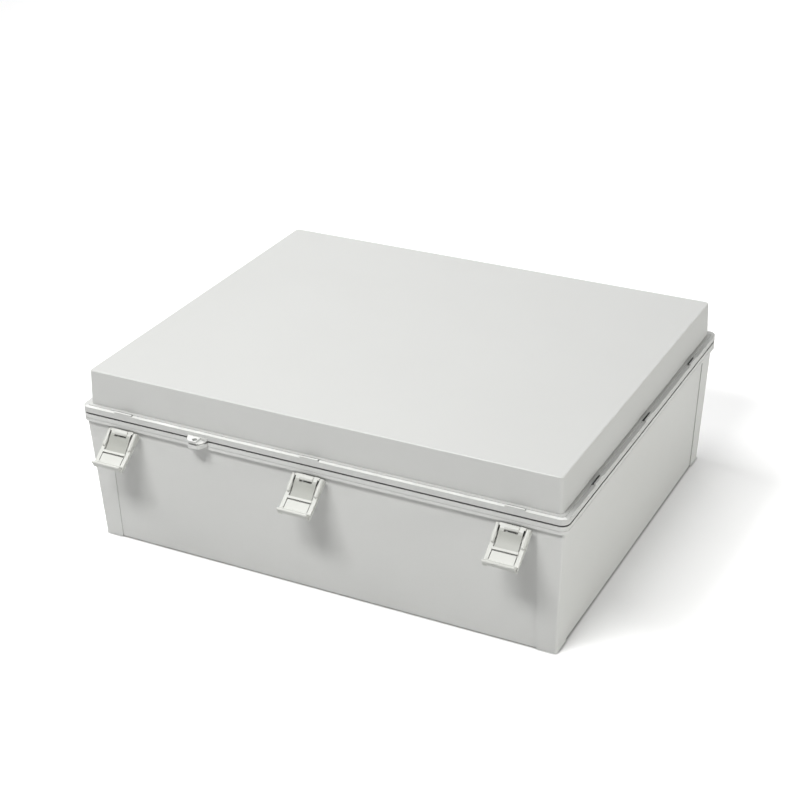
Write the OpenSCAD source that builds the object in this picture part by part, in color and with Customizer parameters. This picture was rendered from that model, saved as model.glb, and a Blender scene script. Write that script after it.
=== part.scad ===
// Hinged polycarbonate enclosure with three front latches, lying on its wall face.
// +Z points out of the wall, the latches face -Y and the lid hinges are at +Y.
// The origin is the middle of the wall-fixing pattern, on the plane of the four feet.

/* [Body] */
// Overall width over the flanges
body_w = 600; // [400:10:800]
// Overall depth over the flanges
body_d = 500; // [340:10:700]
// Height of the base from its feet to the seam
base_h = 164.5; // [120:0.5:240]
// Height of the lid from the seam to its top face
lid_h = 52.5; // [30:0.5:120]
// Wall thickness of the base
base_wall = 4; // [3:0.5:5]
// Wall thickness of the lid
lid_wall = 3.5; // [2.5:0.5:4.5]
// Thickness of the base floor
floor_t = 4.5; // [3:0.5:8]
// How far the base walls lean in from the flange to the floor
base_draft = 6.7; // [2:0.1:9]
// How far the lid walls lean in from the flange to the top
lid_draft = 1.5; // [0.5:0.1:4]
// Corner radius of the base walls
wall_r = 3; // [2.5:0.5:8]
// Rounding of the lid's top edge
lid_edge_r = 2; // [1:0.25:3]

/* [Flanges] */
// Height of each flange at its outer face
flange_h = 9; // [8:0.5:12]
// How far the flange stands out from the base wall
base_ledge = 5; // [4.5:0.25:7]
// How far the flange stands out from the lid wall
lid_ledge = 8.3; // [8:0.1:11]
// Corner radius of the flanges
flange_r = 10; // [6:0.5:14]
// Step up from the outer ledge of the lid flange to its inner level
step_h = 1; // [0.5:0.25:1.5]
// Width of the outer ledge of the lid flange
step_w = 4.8; // [3.5:0.1:5]
// Height of the rebate that draws the seam's shadow line
rebate_h = 1.8; // [0.6:0.1:2]
// Depth of that rebate
rebate_d = 4.2; // [0.8:0.1:4.3]
// Depth of the fine line around the base flange
line_d = 0.3; // [0.2:0.1:1]

/* [Seal] */
// Width of the gasket groove in the lid flange
groove_w = 4.6; // [3.5:0.1:5]
// Depth of the gasket groove
groove_d = 6; // [4:0.5:7]
// Height of the rim that stands up from the base into the groove
rim_h = 2.4; // [1.5:0.1:3]
// Thickness of that rim
rim_t = 1.6; // [1.2:0.1:2]
// Free space between the rim and the gasket
seal_gap = 0.3; // [0.2:0.05:0.5]
// Gap left at the seam by the gasket
seam_gap = 0.3; // [0.25:0.05:0.5]

/* [Corner posts] */
// Width of a corner post along the long sides, from the flange's face
post_w = 34; // [28:1:50]
// Width of a corner post along the short sides, from the flange's face
post_d = 38; // [28:1:50]
// How far a post stands proud of the walls and the floor
post_proud = 1; // [0.5:0.1:2]

/* [Catch pockets] */
// Distance from the flange's end to the outer pockets, latches and hinges on the long sides
pocket_end_x = 58; // [50:1:80]
// Distance from the flange's end to the outer pockets on the short sides
pocket_end_y = 92; // [50:1:110]
// Width of a pocket
pocket_w = 22.5; // [22:0.5:26]
// Height of the lip in front of a pocket above the flange's outer ledge
lip_h = 2; // [1.5:0.1:2.5]
// Thickness of that lip
lip_t = 2.2; // [1.6:0.1:2.6]
// Width of the slot behind the lip
slot_w = 2.4; // [1.8:0.1:3]
// Depth of the slot below the top of the lip
slot_d = 5; // [3:0.5:7]

/* [Sealing lugs] */
// Distance of the sealing lugs from the flange's end
lug_end = 159; // [100:1:165]
// Width of a lug at the flange
lug_w = 26.5; // [20:1:36]
// How far a lug stands out
lug_out = 12; // [8:0.5:14]
// Thickness of each lug
lug_t = 4.4; // [3.5:0.1:6]
// Width of the scoop in the top of the lid's lug
lug_scoop = 9; // [6:0.5:12]
// Diameter of the hole through both lugs
lug_hole_d = 6; // [3:0.5:8]

/* [Wall fixing] */
// Distance of the wall-fixing holes from the flange's faces
fix_inset = 25; // [24:0.5:27]
// Diameter of the wall-fixing holes
fix_hole_d = 7; // [5:0.5:8]
// Diameter of the recess for the screw head
fix_head_d = 13; // [11:0.5:14]
// Height of the boss around a wall-fixing hole above the floor
fix_boss_h = 7; // [4:0.5:12]

/* [Mounting plate] */
// Distance of the mounting plate's edges from the flange's faces
plate_gap = 40; // [38:1:60]
// Thickness of the mounting plate
plate_t = 2.5; // [1.5:0.5:4]
// Distance of the plate screws from the plate's edges
plate_fix_in = 15; // [12:1:25]
// Height of the plate bosses above the floor
plate_boss_h = 14; // [10:1:30]
// Diameter of the plate bosses
plate_boss_d = 14; // [12:1:18]
// Thread diameter of the plate screws
plate_screw_d = 5; // [4:1:6]

/* [Latches] */
// Width of a latch lever over its cheeks
latch_w = 38.5; // [36:0.5:44]
// Length of a latch lever
latch_l = 47.6; // [46:0.2:56]
// Angle of the lever below the horizontal when it hangs open
latch_open = 33; // [31:0.5:35]
// Thickness of a cheek
cheek_t = 4.5; // [3.5:0.25:5]
// Width of the hinge block and of the notch for it
latch_block_w = 15.4; // [14:0.2:15.6]
// Clearance between the lever and what it swings past
latch_gap = 0.3; // [0.25:0.05:0.4]
// Diameter of the pins in a latch
latch_pin_d = 2; // [1.5:0.1:2.2]

/* [Hinges] */
// Width of a hinge
hinge_w = 46; // [40:1:60]
// Radius of the hinge knuckles
knuckle_r = 4.5; // [4:0.25:5]
// Width of the middle knuckle
knuckle_w = 18; // [12:1:20]
// Width over all the knuckles of a hinge
span_w = 30; // [28:1:31]
// Distance from the flange's face to the hinge pin
hinge_out = 5.5; // [5.25:0.25:7]
// Diameter of the hinge pins
hinge_pin_d = 4; // [3:0.25:5]
// Thickness of the hinge leaves
leaf_t = 3; // [2.5:0.25:3.5]

/* [Hidden] */
$fn = 64;
eps = 0.01;
hull_fn = 32;
run_gap = 0.05; // radial running fit of the pins
side_gap = 0.3; // between parts that turn beside each other
line_h = 0.4;
lug_rebate = 1.5;
total_h = base_h + lid_h;
lid_z = base_h + seam_gap; // underside of the lid
hw = body_w / 2;
hd = body_d / 2;
pocket_x = hw - pocket_end_x;
pocket_y = hd - pocket_end_y;
lug_x = hw - lug_end;
fix_x = hw - fix_inset;
fix_y = hd - fix_inset;
plate_w = body_w - 2 * plate_gap;
plate_d = body_d - 2 * plate_gap;
floor_z = post_proud + floor_t;
flange_z = base_h - flange_h; // underside of the base flange
ledge_z = base_h + flange_h; // outer ledge of the lid flange
level_z = ledge_z + step_h; // inner level of the lid flange
lip_z = ledge_z + lip_h; // top of the lips in front of the pockets
lid_top_inset = lid_ledge + lid_draft;
base_foot_inset = base_ledge + base_draft;
lid_r = 4;
groove_in = lid_ledge + lid_wall - 1.3; // inner side of the gasket groove, from the flange's face
groove_out = groove_in - groove_w;
rim_mid = (groove_in + groove_out) / 2;
gasket_z = base_h + rim_h + seal_gap;
lug_hole_y = hd + lug_out * 0.6;

// latch linkage in section: u runs out from the flange's face, z up
link_pin = [0.9, flange_z - 5.44]; // hinge of the link under the base flange
link_l = 13.83;
link_open = -42.13; // direction of the link at rest
pin_along = 15.69; // the lever's pin in the lever's own profile
pin_depth = 8.18;
link_r = 1.8;
barrel_r = 2.4;
nose_l = 11.4;
nose_t = 1.8;
nose_w = 2.8;
bar_r = cheek_t / 2; // round bar along the top of a cheek
lip_in = 0.9; // how far the finger lip stays inside the cheeks' outer faces
comb_step = 2.7; // pitch and width of the notches beside the cap
comb_w = 1.1;
cheek_d = 9.2; // depth of a cheek at the top
heel_d = 11.7; // depth of a cheek at the finger end
slit_w = 1.5; // slits beside the scooped plate
edge_line_w = 0.8; // grooves beside the lower panel
bracket_screw_d = 2.5;
bracket_thread_l = 6;
bracket_head_d = 4;
bracket_head_t = 1.2;
bracket_plate_t = 2.4;
ear_t = 2.4;
lever_pin = link_pin + link_l * [cos(link_open), sin(link_open)];

leaf_gap = side_gap; // leaf edges to the seam
leaf_h = flange_h - leaf_gap;
hinge_y = hd + hinge_out;
screw_dx = hinge_w / 2 - 4;
outer_w = (span_w - knuckle_w) / 2 - side_gap;
outer_dx = (span_w - outer_w) / 2;
hinge_screw_d = 3.5;
hinge_screw_l = 7.5;
hinge_head_d = 6.4;
hinge_head_t = 1.8;

pocket_places = [-pocket_x, 0, pocket_x];
plate_fix_x = plate_w / 2 - plate_fix_in;
plate_fix_y = plate_d / 2 - plate_fix_in;
plate_places = [for (x = [-1, 0, 1], y = [-1, 1]) [x * plate_fix_x, y * plate_fix_y]];
fix_places = [for (x = [-1, 1], y = [-1, 1]) [x * fix_x, y * fix_y]];
plate_z = floor_z + plate_boss_h;
insert_d = plate_screw_d + 2.6;
insert_l = plate_screw_d * 1.8;
washer_t = 1;
washer_d = plate_screw_d * 2.1;
plate_screw_l = plate_t + washer_t + insert_l - 1;

// ---- shared shapes ----

// rectangle with round corners, "inset" in from the flange's face all round
module plan(inset, r) {
  w = body_w - 2 * inset;
  d = body_d - 2 * inset;
  square([w - 2 * r, d], center = true);
  square([w, d - 2 * r], center = true);
  for (x = [-1, 1], y = [-1, 1])
    translate([x * (w / 2 - r), y * (d / 2 - r)]) circle(r);
}

module slab(z, inset, r, h = eps) translate([0, 0, z]) linear_extrude(h) plan(inset, r);

module ring(z, h, outer, inner, r) {
  difference() {
    slab(z, outer, r, h);
    slab(z - 1, inner, max(r - (inner - outer), 0.5), h + 2);
  }
}

// walls that lean in from the flange to the floor
module drafted(z0, z1, inset0, inset1, r) {
  hull() {
    slab(z0, inset0, r, $fn = hull_fn);
    slab(z1 - eps, inset1, r, $fn = hull_fn);
  }
}

// a section drawn as (out from the front flange's face, up), swept along X
module section(x0, x1) {
  translate([x0, -hd, 0]) mirror([0, 1, 0]) rotate([90, 0, 90]) linear_extrude(x1 - x0) children();
}

// the same section, "w" wide about x
module band(x, w) section(x - w / 2, x + w / 2) children();

// the lever's own profile axes: along the lever, and deep into it
module lever_frame() {
  translate(lever_pin) rotate(-latch_open) mirror([0, 1]) translate([-pin_along, -pin_depth]) children();
}

module at_each(places) for (p = places) translate(p) children();

// ---- base ----

module base_outer() {
  lean = base_draft / (flange_z - post_proud);
  drafted(post_proud, base_h, base_foot_inset, base_ledge - lean * flange_h, wall_r);
}

module corner_posts() {
  intersection() {
    drafted(0, flange_z + 1, base_foot_inset - post_proud, base_ledge - post_proud, wall_r);
    for (x = [-1, 1], y = [-1, 1])
      translate([x * (hw - post_w / 2), y * (hd - post_d / 2), flange_z / 2])
        cube([post_w, post_d, flange_z + 2], center = true);
  }
}

module base_cavity() {
  drafted(floor_z, base_h + 1, base_foot_inset + base_wall, base_ledge + base_wall, wall_r - 2);
}

module lug(z, h, inset = 0) {
  w = lug_w / 2 - inset;
  out = lug_out - inset;
  translate([-lug_x, -hd, z]) linear_extrude(h)
    for (s = [0, 1])
      mirror([s, 0])
        polygon([[-eps, rebate_d + 1], [w, rebate_d + 1], [w - 1.5, -out * 0.35],
          [w * 0.55, -out + 1], [w * 0.4, -out], [-eps, -out]]);
}

module lug_bore() {
  translate([-lug_x, -lug_hole_y, base_h - lug_t - 1]) cylinder(h = 2 * lug_t + 3, d = lug_hole_d);
}

module plate_boss() {
  cylinder(h = plate_boss_h, d = plate_boss_d);
  for (a = [0, 90])
    rotate(a) translate([0, 0, plate_boss_h * 0.35])
      cube([plate_boss_d + 9, 2.2, plate_boss_h * 0.7], center = true);
}

module base_shell() {
  color("#c9cac6")
  difference() {
    union() {
      base_outer_shell();
      ring(base_h - 1, rim_h + 1, rim_mid - rim_t / 2, rim_mid + rim_t / 2, 3.5);
      at_each([for (p = fix_places) [p.x, p.y, floor_z - 1]]) cylinder(h = fix_boss_h + 1, d = fix_head_d + 5);
      at_each([for (p = plate_places) [p.x, p.y, floor_z - eps]]) plate_boss();
    }
    at_each([for (p = fix_places) [p.x, p.y, -1]]) cylinder(h = floor_z + fix_boss_h + 2, d = fix_hole_d);
    at_each([for (p = fix_places) [p.x, p.y, floor_z]]) cylinder(h = fix_boss_h + 1, d = fix_head_d);
    at_each([for (p = plate_places) [p.x, p.y, plate_z - insert_l - 1]])
      cylinder(h = insert_l + 2, d = insert_d);
    for (x = pocket_places)
      translate([x, -hd + base_ledge / 2, flange_z - 1])
        cylinder(h = bracket_thread_l + 1.5, d = bracket_screw_d);
    hinge_screw_holes(base_h - leaf_h / 2 - leaf_gap);
    lug_bore();
    difference() {
      slab(flange_z + flange_h * 0.42, -1, flange_r, line_h);
      slab(flange_z, line_d, flange_r - line_d, flange_h);
    }
  }
}

module base_outer_shell() {
  difference() {
    union() {
      base_outer();
      corner_posts();
      slab(flange_z, 0, flange_r, flange_h);
      lug(base_h - lug_t, lug_t);
    }
    base_cavity();
  }
}

// ---- lid ----

module lid_outer() {
  hull() {
    slab(lid_z, lid_ledge, lid_r, $fn = hull_fn);
    slab(total_h - lid_edge_r, lid_top_inset, lid_r, $fn = hull_fn);
    for (a = [30, 60, 90])
      slab(total_h - lid_edge_r * (1 - sin(a)) - eps, lid_top_inset + lid_edge_r * (1 - cos(a)), lid_r,
        $fn = hull_fn);
  }
}

module lid_cavity() {
  drafted(base_h - 1, total_h - lid_wall, lid_ledge + lid_wall, lid_top_inset + lid_wall, lid_r - 1);
}

// one catch pocket on the front flange at x = 0: a raised lip with a slot behind it
module pocket_lip() {
  translate([-pocket_w / 2, -hd, ledge_z - 1]) cube([pocket_w, lip_t, lip_h + 1]);
}

module pocket_slot() {
  translate([-pocket_w / 2, -hd + lip_t, lip_z - slot_d]) cube([pocket_w, slot_w, slot_d + 1]);
}

module at_pockets() {
  for (s = [0, 180])
    rotate(s) for (x = pocket_places) translate([x, 0, 0]) children();
  for (s = [90, 270])
    rotate(s) for (y = [-pocket_y, 0, pocket_y]) translate([y, hd - hw, 0]) children();
}

module lid_shell() {
  color("#d6d7d3")
  difference() {
    union() {
      lid_outer();
      slab(lid_z, rebate_d, flange_r - rebate_d, ledge_z - lid_z);
      slab(lid_z + rebate_h, 0, flange_r, ledge_z - lid_z - rebate_h);
      slab(lid_z, step_w, flange_r - step_w, level_z - lid_z);
      at_pockets() pocket_lip();
      lug(lid_z, rebate_h + 1, lug_rebate);
      lug(lid_z + rebate_h, lug_t - rebate_h);
    }
    lid_cavity();
    ring(base_h - 1, groove_d + 1, groove_out, groove_in, 5);
    at_pockets() pocket_slot();
    translate([lug_scoop * 0.9 - lug_x, -hd - 1, lid_z + lug_t + 1])
      rotate([90, 0, 0]) cylinder(h = lug_out, d = lug_scoop);
    hinge_screw_holes(base_h + leaf_h / 2 + leaf_gap);
    lug_bore();
  }
}

module lid_gasket() {
  color("#3a3b3c")
  ring(gasket_z, base_h + groove_d - gasket_z, groove_out, groove_in, 5);
}

// ---- latches ----

module bracket_screws() {
  color("#b9bcc0")
  for (x = pocket_places)
    translate([x, -hd + base_ledge / 2, 0]) {
      translate([0, 0, flange_z - bracket_plate_t - bracket_head_t])
        cylinder(h = bracket_head_t, d = bracket_head_d);
      translate([0, 0, flange_z - bracket_plate_t - eps])
        cylinder(h = bracket_plate_t + bracket_thread_l, d = bracket_screw_d - 0.1);
    }
}

module latch_bracket(x) {
  half = latch_block_w / 2;
  color("#e6e6e1")
  difference() {
    union() {
      band(x, latch_block_w)
        translate([-base_ledge + 0.2, flange_z - bracket_plate_t]) square([base_ledge - 0.6, bracket_plate_t]);
      for (s = [-1, 1])
        band(x + s * (half - ear_t / 2), ear_t) {
          translate(link_pin) circle(barrel_r);
          polygon([[-base_ledge + 0.2, flange_z], [-0.4, flange_z], [-0.4, flange_z - 1.9],
            link_pin + [1, 2.14], link_pin + [-1.2, -2.05], [-base_ledge + 0.2, flange_z - 4.6]]);
        }
    }
    band(x, latch_block_w + 2) translate(link_pin) circle(d = latch_pin_d);
    translate([x, -hd + base_ledge / 2, flange_z - bracket_plate_t - 1])
      cylinder(h = bracket_plate_t + 2, d = bracket_screw_d);
  }
}

module link_pin_rod(x) {
  color("#aeb1b4")
  band(x, latch_block_w) translate(link_pin) circle(d = latch_pin_d);
}

module latch_link(x) {
  eye_w = latch_block_w - 2 * (ear_t + side_gap);
  bar_w = latch_w - 2 * (cheek_t + side_gap);
  color("#dededa")
  difference() {
    union() {
      band(x, eye_w) translate(link_pin) circle(barrel_r);
      band(x, bar_w) translate(lever_pin) circle(link_r);
      band(x, eye_w) translate(link_pin) rotate(link_open)
        polygon([[0, -barrel_r], [4, -2.2], [link_l, -link_r], [link_l, link_r],
          [link_l - 2, 1.2], [2.5, 1.2], [0, barrel_r - 0.2]]);
    }
    band(x, latch_w) translate(link_pin) circle(d = latch_pin_d + 2 * run_gap);
    band(x, latch_w) translate(lever_pin) circle(d = latch_pin_d);
  }
}

module lever_pin_rod(x) {
  color("#aeb1b4")
  band(x, latch_w - 0.8) translate(lever_pin) circle(d = latch_pin_d);
}

// a point in the lever's own profile, as (out, up)
function lever_point(along, depth) = lever_pin
  + (along - pin_along) * [cos(latch_open), -sin(latch_open)]
  - (depth - pin_depth) * [sin(latch_open), cos(latch_open)];

// a round bar in the lever from one profile point to another
module round_bar(x, from, to, r) {
  run = to - from;
  translate([x, -hd - from.x, from.y]) rotate([atan2(run.x, run.y), 0, 0]) {
    cylinder(h = norm(run), r = r);
    sphere(r);
    translate([0, 0, norm(run)]) sphere(r);
  }
}

// side outline of a cheek below its round bar, with its heel
module cheek_profile() {
  lever_frame() {
    polygon([[0, 2.4], [0.8, 1.6], [18.5, 4.2], [19, 6], [latch_l - 4, 7.2], [latch_l - 1, 7.6],
      [latch_l, 8.6], [latch_l, heel_d - 1.2], [latch_l - 1, heel_d], [1.2, cheek_d], [0, cheek_d - 1]]);
    translate([pin_along, pin_depth]) circle(link_r + 0.4);
  }
}

// the scooped plate between the cheeks, its cross ridge and the lower panel
module scoop_profile() {
  lever_frame() polygon([[9, 1.8], [12, 3.2], [15.7, 4.7], [20, 5.9], [26, 7], [26.6, 5.2], [29.2, 5.2],
    [29.4, 7.9], [30.4, 7.9], [30.6, 6.7], [latch_l - 6, 7.1], [latch_l - 4, 6.2], [latch_l - 2, 8],
    [latch_l - 5, 9.2], [31, 9], [29.5, 9], [28, 8.3], [26, 7.9], [20, 7], [17.5, 6.1], [15, 5.9],
    [12, 4.8], [9, 3.6]]);
}

module lip_profile() {
  lever_frame() polygon([[latch_l - 6.4, 7.4], [latch_l - 4.4, 5.4], [latch_l - 3, 1.9], [latch_l - 2.2, 0.9],
    [latch_l - 1, 0.6], [latch_l - 0.1, 1.2], [latch_l, 2.4], [latch_l - 0.3, 8.8], [latch_l - 1, 9.8],
    [latch_l - 5, 9.8]]);
}

module top_bar_profile() {
  lever_frame() polygon([[0, 0.8], [0.8, 0.2], [6, 0.9], [9.2, 1.8], [9.2, 3.6], [4.8, cheek_d],
    [0, cheek_d - 0.6]]);
}

// the round cap over the hinge block, joined to the top bar
module cap_profile() {
  lever_frame() polygon([[0, 0.8], [1.2, -0.4], [3, -0.9], [5, -0.6], [6.6, 0.6], [7, 1.8], [6.6, 2.9],
    [0, 2.9]]);
}

module nose_profile() {
  lever_frame() polygon([[0, 0.8], [0.8, 0.2], [6, 0.9], [4.8, cheek_d], [nose_t, nose_l - 2.4],
    [nose_t, nose_l], [0, nose_l]]);
}

module latch_lever(x) {
  half = latch_w / 2;
  inner = half - cheek_t;
  notch = latch_block_w / 2 + latch_gap;
  color("#ecece7")
  difference() {
    union() {
      for (s = [-1, 1]) {
        band(x + s * (half - cheek_t / 2), cheek_t) cheek_profile();
        round_bar(x + s * (half - bar_r), lever_point(2.6, 2.6), lever_point(20.2, 5.4), bar_r);
        band(x + s * (notch + inner) / 2, inner - notch + 2 * eps) top_bar_profile();
        band(x + s * (notch + nose_w / 2), nose_w) nose_profile();
      }
      band(x, 2 * (inner + eps)) scoop_profile();
      band(x, 2 * (half - lip_in)) lip_profile();
      band(x, 2 * (notch + eps)) cap_profile();
    }
    for (s = [-1, 1]) {
      band(x + s * (inner - slit_w / 2), slit_w) lever_frame() translate([3.4, -1]) square([22, cheek_d + 2]);
      band(x + s * (inner - edge_line_w / 2), edge_line_w)
        lever_frame() translate([29.4, 4]) square([latch_l - 36, 3.9]);
    }
    for (k = [0 : 3])
      band(x + k * comb_step - comb_w / 2 - 0.4, comb_w) lever_frame() translate([-1, -2]) square([2.1, 3.4]);
    band(x, latch_w + 2) translate(lever_pin) circle(d = latch_pin_d + 2 * run_gap);
  }
}

// ---- hinges ----

module hinge_screw_holes(z) {
  for (x = pocket_places, s = [-1, 1])
    translate([x + s * screw_dx, hd - hinge_screw_l + leaf_t, z])
      rotate([-90, 0, 0]) cylinder(h = hinge_screw_l, d = hinge_screw_d);
}

module hinge_screws(z) {
  color("#b9bcc0")
  for (x = pocket_places, s = [-1, 1])
    translate([x + s * screw_dx, hd + leaf_t, z]) rotate([90, 0, 0]) {
      cylinder(h = hinge_head_t, d1 = hinge_head_d, d2 = hinge_screw_d - 0.1);
      cylinder(h = hinge_screw_l - 0.2, d = hinge_screw_d - 0.1);
    }
}

module leaf_plate(x, z) {
  difference() {
    translate([x - hinge_w / 2, hd, z - leaf_h / 2]) cube([hinge_w, leaf_t, leaf_h]);
    for (s = [-1, 1])
      translate([x + s * screw_dx, hd + leaf_t, z]) rotate([90, 0, 0]) {
        translate([0, 0, -eps]) cylinder(h = hinge_head_t + eps, d1 = hinge_head_d + 0.1, d2 = hinge_screw_d);
        translate([0, 0, -1]) cylinder(h = leaf_t + 2, d = hinge_screw_d);
      }
  }
}

module knuckle(x, w, r) translate([x - w / 2, hinge_y, base_h]) rotate([0, 90, 0]) cylinder(h = w, r = r);

module hinge_base_leaf(x) {
  z = base_h - leaf_gap - leaf_h / 2;
  color("#c3c4c0")
  difference() {
    union() {
      leaf_plate(x, z);
      for (s = [-1, 1]) knuckle(x + s * outer_dx, outer_w, knuckle_r);
      for (s = [-1, 1])
        translate([x + s * outer_dx - outer_w / 2, hd + leaf_t - 1, base_h - knuckle_r])
          cube([outer_w, hinge_out - leaf_t + 1, knuckle_r - leaf_gap]);
    }
    knuckle(x, knuckle_w + 2 * side_gap, knuckle_r + side_gap);
    knuckle(x, hinge_w + 2, hinge_pin_d / 2);
  }
}

module hinge_lid_leaf(x) {
  z = base_h + leaf_gap + leaf_h / 2;
  color("#c3c4c0")
  difference() {
    union() {
      leaf_plate(x, z);
      knuckle(x, knuckle_w, knuckle_r);
      translate([x - knuckle_w / 2, hd + leaf_t - 1, base_h + leaf_gap])
        cube([knuckle_w, hinge_out - leaf_t + 1, knuckle_r - leaf_gap]);
    }
    for (s = [-1, 1]) knuckle(x + s * outer_dx, outer_w + 2 * side_gap, knuckle_r + side_gap);
    knuckle(x, hinge_w + 2, hinge_pin_d / 2 + run_gap);
  }
}

module hinge_pin(x) {
  color("#aeb1b4")
  translate([x - span_w / 2, hinge_y, base_h]) rotate([0, 90, 0]) cylinder(h = span_w, d = hinge_pin_d);
}

// ---- mounting plate ----

module mounting_plate() {
  color("#b4b8ba")
  translate([0, 0, plate_z]) difference() {
    translate([-plate_w / 2, -plate_d / 2, 0]) cube([plate_w, plate_d, plate_t]);
    at_each([for (p = plate_places) [p.x, p.y, -1]]) cylinder(h = plate_t + 2, d = plate_screw_d + 0.8);
  }
}

module plate_inserts() {
  color("#c9a24b")
  at_each([for (p = plate_places) [p.x, p.y, plate_z - insert_l]])
    difference() {
      cylinder(h = insert_l, d = insert_d);
      translate([0, 0, -1]) cylinder(h = insert_l + 2, d = plate_screw_d);
    }
}

module plate_washers() {
  color("#c0c3c6")
  at_each([for (p = plate_places) [p.x, p.y, plate_z + plate_t]])
    difference() {
      cylinder(h = washer_t, d = washer_d);
      translate([0, 0, -1]) cylinder(h = washer_t + 2, d = plate_screw_d + 0.3);
    }
}

module plate_screws() {
  color("#c0c3c6")
  at_each([for (p = plate_places) [p.x, p.y, plate_z + plate_t + washer_t]])
    difference() {
      union() {
        cylinder(h = plate_screw_d * 0.62, d1 = plate_screw_d * 1.9, d2 = plate_screw_d * 1.5);
        translate([0, 0, -plate_screw_l]) cylinder(h = plate_screw_l + eps, d = plate_screw_d - 0.1);
      }
      for (a = [0, 90])
        rotate(a) translate([0, 0, plate_screw_d * 0.62])
          cube([plate_screw_d, 1.1, plate_screw_d * 0.7], center = true);
    }
}

base_shell();
lid_shell();
lid_gasket();
latch_bracket(-pocket_x);  // latch_bracket_left
latch_bracket(0);  // latch_bracket_middle
latch_bracket(pocket_x);  // latch_bracket_right
bracket_screws();  // latch_bracket_screws
latch_link(-pocket_x);  // latch_link_left
latch_link(0);  // latch_link_middle
latch_link(pocket_x);  // latch_link_right
link_pin_rod(-pocket_x);  // latch_link_pin_left
link_pin_rod(0);  // latch_link_pin_middle
link_pin_rod(pocket_x);  // latch_link_pin_right
latch_lever(-pocket_x);  // latch_lever_left
latch_lever(0);  // latch_lever_middle
latch_lever(pocket_x);  // latch_lever_right
lever_pin_rod(-pocket_x);  // latch_lever_pin_left
lever_pin_rod(0);  // latch_lever_pin_middle
lever_pin_rod(pocket_x);  // latch_lever_pin_right
hinge_base_leaf(-pocket_x);  // hinge_base_leaf_left
hinge_base_leaf(0);  // hinge_base_leaf_middle
hinge_base_leaf(pocket_x);  // hinge_base_leaf_right
hinge_lid_leaf(-pocket_x);  // hinge_lid_leaf_left
hinge_lid_leaf(0);  // hinge_lid_leaf_middle
hinge_lid_leaf(pocket_x);  // hinge_lid_leaf_right
hinge_pin(-pocket_x);  // hinge_pin_left
hinge_pin(0);  // hinge_pin_middle
hinge_pin(pocket_x);  // hinge_pin_right
hinge_screws(base_h - leaf_h / 2 - leaf_gap);  // hinge_base_screws
hinge_screws(base_h + leaf_h / 2 + leaf_gap);  // hinge_lid_screws
mounting_plate();
plate_inserts();
plate_washers();
plate_screws();
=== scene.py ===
import math

import bmesh
import bpy
from mathutils import Matrix, Vector


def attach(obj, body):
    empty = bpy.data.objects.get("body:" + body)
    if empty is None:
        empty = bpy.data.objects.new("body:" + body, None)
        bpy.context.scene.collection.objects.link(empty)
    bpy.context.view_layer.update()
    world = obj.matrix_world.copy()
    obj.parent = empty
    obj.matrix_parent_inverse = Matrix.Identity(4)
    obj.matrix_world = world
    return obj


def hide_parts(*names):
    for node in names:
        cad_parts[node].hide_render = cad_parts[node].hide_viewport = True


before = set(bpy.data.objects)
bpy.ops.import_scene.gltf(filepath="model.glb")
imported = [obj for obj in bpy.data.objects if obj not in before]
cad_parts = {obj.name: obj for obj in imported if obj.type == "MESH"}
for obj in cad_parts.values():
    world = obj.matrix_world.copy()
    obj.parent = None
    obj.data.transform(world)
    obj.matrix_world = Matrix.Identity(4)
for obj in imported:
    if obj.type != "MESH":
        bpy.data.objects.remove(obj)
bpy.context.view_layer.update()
places = ("left", "middle", "right")
print("frame loaded")


camera = {
    # place in metres, turns in degrees, lens and sensor in millimetres
    "place": (0.8350, -1.6738, 1.0911),
    "azimuth": 26.92,
    "elevation": 27.19,
    "roll": -0.77,
    "lens": 78.44,
    "sensor": 36,
    "farthest": 50,
}


def addCamera():
    a = math.radians(camera["azimuth"])
    e = math.radians(camera["elevation"])
    r = math.radians(camera["roll"])
    back = Vector((math.sin(a) * math.cos(e), -math.cos(a) * math.cos(e), math.sin(e)))
    right = Vector((math.cos(a), math.sin(a), 0))
    up = back.cross(right)
    sideways = math.cos(r) * right + math.sin(r) * up
    upwards = math.cos(r) * up - math.sin(r) * right
    data = bpy.data.cameras.new("camera")
    data.lens = camera["lens"]
    data.sensor_width = camera["sensor"]
    data.sensor_fit = "HORIZONTAL"
    data.clip_end = camera["farthest"]
    item = bpy.data.objects.new("camera", data)
    turn = Matrix((sideways, upwards, back)).transposed().to_4x4()
    item.matrix_world = Matrix.Translation(camera["place"]) @ turn
    bpy.context.scene.collection.objects.link(item)
    bpy.context.scene.camera = item


lights = {
    # name: place, aimed at, width, height, watts, colour
    "key": ((-0.20, -1.45, 1.93), (0, -0.25, 0.12), 1.05, 0.36, 41, (1, 1, 0.995)),
    "topSoft": ((-1.3, 0.05, 2.3), (0, 0, 0.2), 1.3, 1.1, 39, (1, 1, 1)),
    "rightFill": ((2.5, -0.3, 0.2), (0.3, 0, 0.1), 1.6, 0.8, 39, (1, 1, 0.96)),
    "backFill": ((0.7, 2.4, 0.4), (0, 0.25, 0.1), 1.6, 0.5, 12, (1, 1, 1)),
    "backdrop": ((-0.7, 2.7, 1.5), (-0.7, 2.3, 0), 3.2, 1.2, 34, (1, 1, 1)),
}
studio = {
    "sky": (1, 1, 1),
    "skyStrength": 0.20,
    "paper": (0.95, 0.95, 0.95),
    "bounce": (0.62, 0.62, 0.62),
    # the dark colour of the painted contact shadow on the paper
    "contactShadow": (0.03, 0.03, 0.03),
    "glow": 0.11,
    "floorSize": 14,
}


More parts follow.
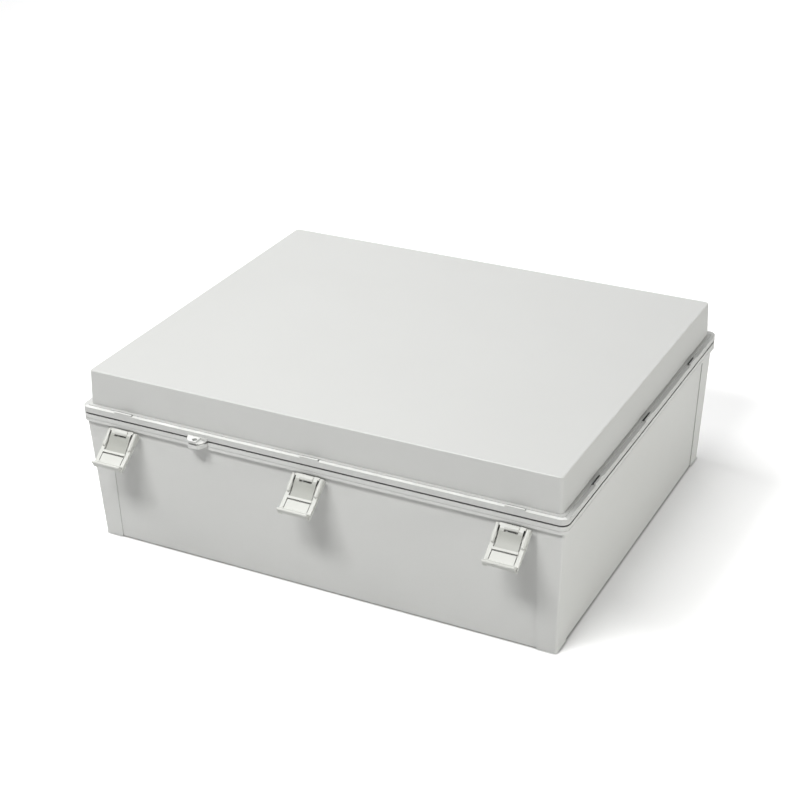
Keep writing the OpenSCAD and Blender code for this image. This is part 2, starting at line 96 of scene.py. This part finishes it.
def addLights():
    for name, (place, aim, width, height, watts, colour) in lights.items():
        data = bpy.data.lights.new(name, "AREA")
        data.shape = "RECTANGLE"
        data.size = width
        data.size_y = height
        data.energy = watts
        data.color = colour
        item = bpy.data.objects.new(name, data)
        item.location = place
        item.rotation_euler = (Vector(aim) - Vector(place)).to_track_quat("-Z", "Y").to_euler()
        bpy.context.scene.collection.objects.link(item)
    world = bpy.data.worlds.new("studio")
    world.use_nodes = True
    sky = world.node_tree.nodes["Background"]
    sky.inputs["Color"].default_value = (*studio["sky"], 1)
    sky.inputs["Strength"].default_value = studio["skyStrength"]
    bpy.context.scene.world = world
    bpy.context.scene.view_settings.view_transform = "Standard"


# a short way to add and join shader nodes; a value may be a number, a colour or another node's socket
class Nodes:
    def __init__(self, tree):
        self.tree = tree

    def add(self, kind, **values):
        node = self.tree.nodes.new("ShaderNode" + kind)
        for key, value in values.items():
            setattr(node, key, value)
        return node

    def join(self, start, end):
        self.tree.links.new(start, end)

    def give(self, value, end):
        if isinstance(value, (int, float)):
            end.default_value = value
        elif isinstance(value, tuple):
            end.default_value = (*value, 1) if end.type == "RGBA" else value
        else:
            self.join(value, end)

    def noise(self, vector, scale, detail=2.0, roughness=0.5):
        node = self.add("TexNoise")
        node.inputs["Detail"].default_value = detail
        node.inputs["Roughness"].default_value = roughness
        self.join(vector, node.inputs["Vector"])
        self.give(scale, node.inputs["Scale"])
        return node.outputs["Fac"]

    def cells(self, vector, scale):
        node = self.add("TexVoronoi")
        self.join(vector, node.inputs["Vector"])
        self.give(scale, node.inputs["Scale"])
        return node

    def maths(self, operation, first, second=None, third=None, clamp=False):
        node = self.add("Math", operation=operation, use_clamp=clamp)
        for place, value in enumerate((first, second, third)):
            if value is not None:
                self.give(value, node.inputs[place])
        return node.outputs[0]

    def centred(self, value):
        return self.maths("SUBTRACT", value, 0.5)

    def scaled(self, colour, factor):
        node = self.add("VectorMath", operation="SCALE")
        self.join(colour, node.inputs[0])
        self.join(factor, node.inputs["Scale"])
        return node.outputs[0]

    def mix(self, factor, first, second):
        node = self.add("Mix", data_type="RGBA")
        for place, value in ((0, factor), (6, first), (7, second)):
            self.give(value, node.inputs[place])
        return node.outputs[2]

    def ramp(self, value, start, end, least=0.0):
        node = self.add("MapRange")
        node.inputs["From Min"].default_value = start
        node.inputs["From Max"].default_value = end
        node.inputs["To Min"].default_value = least
        self.join(value, node.inputs["Value"])
        return node.outputs[0]

    # how open a point is to its surroundings, from `least` in a gap to 1
    def openness(self, reach, start, end, least):
        node = self.add("AmbientOcclusion", samples=6)
        node.inputs["Distance"].default_value = reach
        return self.ramp(node.outputs["AO"], start, end, least)


# a group that gives a surface its colour, roughness and height
class Effect(Nodes):
    def __init__(self, name, inputs):
        super().__init__(bpy.data.node_groups.new(name, "ShaderNodeTree"))
        sockets = self.tree.interface
        for label, kind, value in [("Vector", "Vector", (0, 0, 0))] + inputs:
            made = sockets.new_socket(name=label, in_out="INPUT", socket_type="NodeSocket" + kind)
            made.default_value = value
        for label, kind in (("Colour", "Color"), ("Roughness", "Float"), ("Height", "Float")):
            sockets.new_socket(name=label, in_out="OUTPUT", socket_type="NodeSocket" + kind)
        self.start = self.tree.nodes.new("NodeGroupInput").outputs
        self.end = self.tree.nodes.new("NodeGroupOutput").inputs

    def finish(self, colour, roughness, height):
        for label, value in (("Colour", colour), ("Roughness", roughness), ("Height", height)):
            self.join(value, self.end[label])
        return self.tree


# painted shade: how far into a gap the moulded colour darkens, and where an object's foot darkens the paper with
# a painted contact shadow
gapShade = {"reach": 0.005, "start": 0.25, "end": 0.49, "least": 0.06}
contactShadow = {"reach": 0.004, "start": 0.45, "end": 0.92, "least": 0.30}
rubbedColour = (0.86, 0.865, 0.85)
# noise scales are features to a metre
moulded = {"cloud": 5.5, "speck": 650, "patch": 38, "smear": 14}
drawn = {"cloud": 22, "stretch": (0.05, 1, 1)}
paper = {"grain": 40, "dimmest": 0.985, "roughness": 0.9, "specular": 0.1}


def mouldedGroup():
    n = Effect("mouldedPlastic", [
        ("Colour", "Color", (0.7, 0.7, 0.7, 1)), ("Cloud", "Float", 0.03), ("Speck", "Float", 0.02),
        ("Grain", "Float", 900), ("Worn", "Float", 0.0), ("Scuff", "Float", 0.1),
    ])
    vector = n.start["Vector"]
    grain = n.noise(vector, n.start["Grain"], 1.5)
    # colour: slow clouds, then a fine speckle
    shade = n.maths("MULTIPLY_ADD", n.centred(n.noise(vector, moulded["cloud"], 3)), n.start["Cloud"], 1.0)
    fine = n.maths("MULTIPLY_ADD", n.centred(n.noise(vector, moulded["speck"], 1)), n.start["Speck"], shade)
    tinted = n.scaled(n.start["Colour"], fine)
    # rubbed places turn paler, in patches
    patches = n.ramp(n.noise(vector, moulded["patch"], 3, 0.6), 0.35, 0.7)
    wear = n.maths("MULTIPLY", patches, n.start["Worn"], clamp=True)
    rubbed = n.mix(wear, tinted, rubbedColour)
    # painted shade: the colour is darkened in narrow gaps such as the seam
    gapShaded = n.scaled(rubbed, n.openness(**gapShade))
    # roughness: handling marks over the moulded grain
    smear = n.maths("MULTIPLY", n.centred(n.noise(vector, moulded["smear"], 4, 0.6)), n.start["Scuff"])
    matt = n.maths("MULTIPLY_ADD", n.centred(grain), 0.08, 0.46)
    return n.finish(gapShaded, n.maths("ADD", matt, smear, clamp=True), grain)


def metalGroup():
    n = Effect("drawnMetal", [
        ("Colour", "Color", (0.6, 0.6, 0.6, 1)), ("Streak", "Float", 260), ("Cloud", "Float", 0.12),
        ("Base", "Float", 0.35),
    ])
    stretched = n.add("VectorMath", operation="MULTIPLY")
    stretched.inputs[1].default_value = drawn["stretch"]
    n.join(n.start["Vector"], stretched.inputs[0])
    streak = n.noise(stretched.outputs[0], n.start["Streak"], 2)
    both = n.maths("ADD", n.centred(streak), n.centred(n.noise(n.start["Vector"], drawn["cloud"], 3)))
    tinted = n.scaled(n.start["Colour"], n.maths("MULTIPLY_ADD", both, n.start["Cloud"], 1.0))
    return n.finish(tinted, n.maths("MULTIPLY_ADD", both, 0.18, n.start["Base"]), streak)


def spangleGroup():
    n = Effect("zincSpangle", [("Colour", "Color", (0.6, 0.6, 0.6, 1)), ("Scale", "Float", 70)])
    split = n.add("SeparateColor")
    n.join(n.cells(n.start["Vector"], n.start["Scale"]).outputs["Color"], split.inputs[0])
    flake = split.outputs[0]
    tinted = n.scaled(n.start["Colour"], n.maths("MULTIPLY_ADD", flake, 0.16, 0.92))
    return n.finish(tinted, n.maths("MULTIPLY_ADD", flake, 0.14, 0.32), n.noise(n.start["Vector"], 500, 2))


def foamGroup():
    n = Effect("foamSkin", [("Colour", "Color", (0.05, 0.05, 0.05, 1))])
    pores = n.cells(n.start["Vector"], 1400).outputs["Distance"]
    tinted = n.scaled(n.start["Colour"], n.maths("MULTIPLY_ADD", pores, 0.5, 0.75))
    return n.finish(tinted, n.maths("MULTIPLY_ADD", pores, 0.15, 0.8), pores)


finishes = {
    "basePolycarbonate": {"group": "moulded", "Colour": (0.560, 0.564, 0.550), "Cloud": 0.035, "Speck": 0.03,
                          "Grain": 1100, "Worn": 0.0, "Scuff": 0.12, "bump": 0.05, "depth": 0.00008},
    "baseEdge": {"group": "moulded", "Colour": (0.66, 0.664, 0.648), "Cloud": 0.05, "Speck": 0.04,
                 "Grain": 1100, "Worn": 0.5, "Scuff": 0.25, "bump": 0.03, "depth": 0.00005},
    # the lid is moulded from the same polycarbonate as the base; its colours are set darker than the base's as
    # painted shade, and its edge material also paints the highlight on the front ledge
    "lidShadedPolycarbonate": {"group": "moulded", "Colour": (0.497, 0.501, 0.489), "Cloud": 0.03, "Speck": 0.025,
                         "Grain": 1100, "Worn": 0.0, "Scuff": 0.10, "bump": 0.05, "depth": 0.00008},
    "lidEdgeShadeAndHighlight": {"group": "moulded", "Colour": (0.625, 0.629, 0.614), "Cloud": 0.05, "Speck": 0.03,
                "Grain": 1100, "Worn": 0.5, "Scuff": 0.22, "bump": 0.03, "depth": 0.00005},
    "latchNylon": {"group": "moulded", "Colour": (0.51, 0.515, 0.487), "Cloud": 0.03, "Speck": 0.02,
                   "Grain": 1600, "Worn": 0.05, "Scuff": 0.10, "bump": 0.04, "depth": 0.00005},
    "latchEdge": {"group": "moulded", "Colour": (0.58, 0.585, 0.557), "Cloud": 0.04, "Speck": 0.02,
                  "Grain": 1600, "Worn": 0.5, "Scuff": 0.2, "bump": 0.02, "depth": 0.00003},
    # painted shade: the scooped lever panel is darker than the rest of the latch, and matt
    "latchPanelShade": {"group": "moulded", "Colour": (0.34, 0.345, 0.318), "Cloud": 0.05, "Speck": 0.06,
                   "Grain": 2200, "Worn": 0.0, "Scuff": 0.10, "bump": 0.12, "depth": 0.00010},
    "hingeNylon": {"group": "moulded", "Colour": (0.535, 0.540, 0.526), "Cloud": 0.04, "Speck": 0.03,
                   "Grain": 1500, "Worn": 0.05, "Scuff": 0.14, "bump": 0.05, "depth": 0.00005},
    "hingeEdge": {"group": "moulded", "Colour": (0.60, 0.605, 0.590), "Cloud": 0.05, "Speck": 0.03,
                  "Grain": 1500, "Worn": 0.5, "Scuff": 0.25, "bump": 0.03, "depth": 0.00004},
    "gasketFoam": {"group": "foam", "Colour": (0.045, 0.046, 0.05), "bump": 0.5, "depth": 0.0002},
    "pinSteel": {"group": "metal", "Colour": (0.62, 0.62, 0.63), "Streak": 900, "Cloud": 0.12, "Base": 0.28,
                 "bump": 0.08, "depth": 0.00002},
    "screwSteel": {"group": "metal", "Colour": (0.66, 0.665, 0.68), "Streak": 700, "Cloud": 0.16, "Base": 0.32,
                   "bump": 0.1, "depth": 0.00002},
    "plateZinc": {"group": "spangle", "Colour": (0.58, 0.60, 0.61), "Scale": 75, "bump": 0.05, "depth": 0.00004},
    "insertBrass": {"group": "metal", "Colour": (0.72, 0.52, 0.22), "Streak": 800, "Cloud": 0.14, "Base": 0.3,
                    "bump": 0.1, "depth": 0.00002},
}
metalKinds = ("metal", "spangle")
polycarbonateIor = 1.58
nylonIor = 1.53
mouldedSpecular = 0.42


def addMaterial(name, values, groups):
    material = bpy.data.materials.new(name)
    material.use_nodes = True
    tree = material.node_tree
    n = Nodes(tree)
    shader = tree.nodes["Principled BSDF"]
    place = n.add("TexCoord")
    effect = n.add("Group", node_tree=groups[values["group"]])
    n.join(place.outputs["Object"], effect.inputs["Vector"])
    for label, value in values.items():
        if label in effect.inputs and label != "group":
            effect.inputs[label].default_value = (*value, 1) if isinstance(value, tuple) else value
    bump = n.add("Bump")
    bump.inputs["Strength"].default_value = values["bump"]
    bump.inputs["Distance"].default_value = values["depth"]
    n.join(effect.outputs["Height"], bump.inputs["Height"])
    n.join(effect.outputs["Colour"], shader.inputs["Base Color"])
    n.join(effect.outputs["Roughness"], shader.inputs["Roughness"])
    n.join(bump.outputs["Normal"], shader.inputs["Normal"])
    shader.inputs["Metallic"].default_value = 1.0 if values["group"] in metalKinds else 0.0
    if values["group"] == "moulded":
        nylon = "latch" in name or "hinge" in name
        shader.inputs["IOR"].default_value = nylonIor if nylon else polycarbonateIor
        shader.inputs["Specular IOR Level"].default_value = mouldedSpecular
    return material


def addMaterials():
    groups = {"moulded": mouldedGroup(), "metal": metalGroup(), "spangle": spangleGroup(), "foam": foamGroup()}
    return {name: addMaterial(name, values, groups) for name, values in finishes.items()}


def addFloor():
    mesh = bmesh.new()
    bmesh.ops.create_grid(mesh, x_segments=1, y_segments=1, size=studio["floorSize"] / 2)
    data = bpy.data.meshes.new("floor")
    mesh.to_mesh(data)
    mesh.free()
    floor = bpy.data.objects.new("floor", data)
    bpy.context.scene.collection.objects.link(floor)
    material = bpy.data.materials.new("studioPaper")
    material.use_nodes = True
    n = Nodes(material.node_tree)
    shader = material.node_tree.nodes["Principled BSDF"]
    place = n.add("TexCoord")
    grain = n.noise(place.outputs["Object"], paper["grain"], 3)
    tone = tuple(channel * paper["dimmest"] for channel in studio["paper"])
    # painted contact shadow: the paper is dark only where an object stands on it
    clear = n.openness(**contactShadow)
    # it looks pale, and throws back less light than it shows
    rays = n.add("LightPath")
    seen = n.mix(clear, studio["contactShadow"], n.mix(grain, tone, studio["paper"]))
    n.join(n.mix(rays.outputs["Is Camera Ray"], studio["bounce"], seen), shader.inputs["Base Color"])
    shader.inputs["Roughness"].default_value = paper["roughness"]
    shader.inputs["Specular IOR Level"].default_value = paper["specular"]
    shader.inputs["Emission Color"].default_value = (1, 1, 1, 1)
    glow = n.maths("MULTIPLY", rays.outputs["Is Camera Ray"], studio["glow"])
    n.join(n.maths("MULTIPLY", glow, clear), shader.inputs["Emission Strength"])
    data.materials.append(material)


skins = {
    # node: body, slot, material, material of its edges, edge radius
    "base_shell": ("base", "polycarbonate_base", "basePolycarbonate", "baseEdge", 0.0005),
    "lid_shell": ("lid", "polycarbonate_lid", "lidShadedPolycarbonate", "lidEdgeShadeAndHighlight", 0.0005),
    "latch_lever_{}": ("lever_{}", "latch_plastic", "latchNylon", "latchEdge", 0.0003),
    "latch_bracket_{}": ("base", "latch_plastic", "latchNylon", "latchEdge", 0.0002),
    "latch_link_{}": ("link_{}", "latch_plastic", "latchNylon", "latchEdge", 0.0002),
    "hinge_base_leaf_{}": ("base", "hinge_plastic", "hingeNylon", "hingeEdge", 0.0003),
    "hinge_lid_leaf_{}": ("lid", "hinge_plastic", "hingeNylon", "hingeEdge", 0.0003),
}
plain = {
    # node: material of a piece that keeps its own mesh
    "lid_gasket": "gasketFoam",
    "latch_bracket_screws": "screwSteel",
    "hinge_base_screws": "screwSteel",
    "hinge_lid_screws": "screwSteel",
    "mounting_plate": "plateZinc",
    "plate_inserts": "insertBrass",
    "plate_washers": "screwSteel",
    "plate_screws": "screwSteel",
    "latch_link_pin_{}": "pinSteel",
    "latch_lever_pin_{}": "pinSteel",
    "hinge_pin_{}": "pinSteel",
}
weld = 0.00001
flatAngle = math.radians(0.4)
sharpAngle = math.radians(28)
bevelSteps = 2
faceWeight = 90


def spread(name):
    return [name.format(place) for place in places] if "{}" in name else [name]


def mergedCopy(node, name):
    mesh = bmesh.new()
    mesh.from_mesh(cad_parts[node].data)
    bmesh.ops.remove_doubles(mesh, verts=mesh.verts, dist=weld)
    bmesh.ops.dissolve_limit(mesh, angle_limit=flatAngle, verts=mesh.verts, edges=mesh.edges, delimit={"NORMAL"})
    data = bpy.data.meshes.new(name)
    mesh.to_mesh(data)
    mesh.free()
    data.materials.clear()
    item = bpy.data.objects.new(name, data)
    bpy.context.scene.collection.objects.link(item)
    return item


# the copy's second material covers the bevels, so wear stays on the edges
def addSkin(node, body, material, edgeMaterial, radius):
    piece = mergedCopy(node, node + "_skin")
    piece.data.materials.append(material)
    piece.data.materials.append(edgeMaterial)
    piece.data.shade_smooth()
    rounded = piece.modifiers.new("rounded", "BEVEL")
    rounded.width = radius
    rounded.segments = bevelSteps
    rounded.limit_method = "ANGLE"
    rounded.angle_limit = sharpAngle
    rounded.miter_outer = "MITER_ARC"
    rounded.material = 1
    shading = piece.modifiers.new("shading", "WEIGHTED_NORMAL")
    shading.weight = faceWeight
    shading.keep_sharp = True
    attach(piece, body)
    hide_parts(node)
    return piece


# the scooped panel between a lever's cheeks is matt, and its darker colour is painted shade in the recess
panel = {"halfWidth": 0.0133, "top": 0.12, "bottom": 0.66, "tiltLow": 0.30, "tiltHigh": 0.76}


def addPanel(piece, material):
    piece.data.materials.append(material)
    heights = [vertex.co.z for vertex in piece.data.vertices]
    across = [vertex.co.x for vertex in piece.data.vertices]
    top, tall = max(heights), max(heights) - min(heights)
    middle = (max(across) + min(across)) / 2
    for face in piece.data.polygons:
        down = (top - face.center.z) / tall
        inside = abs(face.center.x - middle) < panel["halfWidth"] and panel["top"] < down < panel["bottom"]
        if inside and face.normal.y < -0.5 and panel["tiltLow"] < face.normal.z < panel["tiltHigh"]:
            face.material_index = 2


# the ledge along the front of the lid takes the lighter edge colour: a painted highlight where the light falls
# on it
ledgeHighlight = {"front": -0.232, "low": 0.160, "high": 0.185, "level": 0.6}


def addLedgeHighlight(piece):
    for face in piece.data.polygons:
        level = ledgeHighlight["low"] < face.center.z < ledgeHighlight["high"] and face.normal.z > ledgeHighlight["level"]
        if level and face.center.y < ledgeHighlight["front"]:
            face.material_index = 1


def addSkins(materials):
    for pattern, (body, slot, material, edge, radius) in skins.items():
        for place, node in zip(places, spread(pattern)):
            piece = addSkin(node, body.format(place), materials[material], materials[edge], radius)
            if "lever" in node:
                addPanel(piece, materials["latchPanelShade"])
            if node == "lid_shell":
                # painted highlight on the lid's front ledge
                addLedgeHighlight(piece)
    for pattern, material in plain.items():
        for node in spread(pattern):
            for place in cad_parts[node].material_slots:
                place.material = materials[material]


addCamera()
addLights()
addFloor()
materials = addMaterials()
print("materials made")
addSkins(materials)
print("skins made")
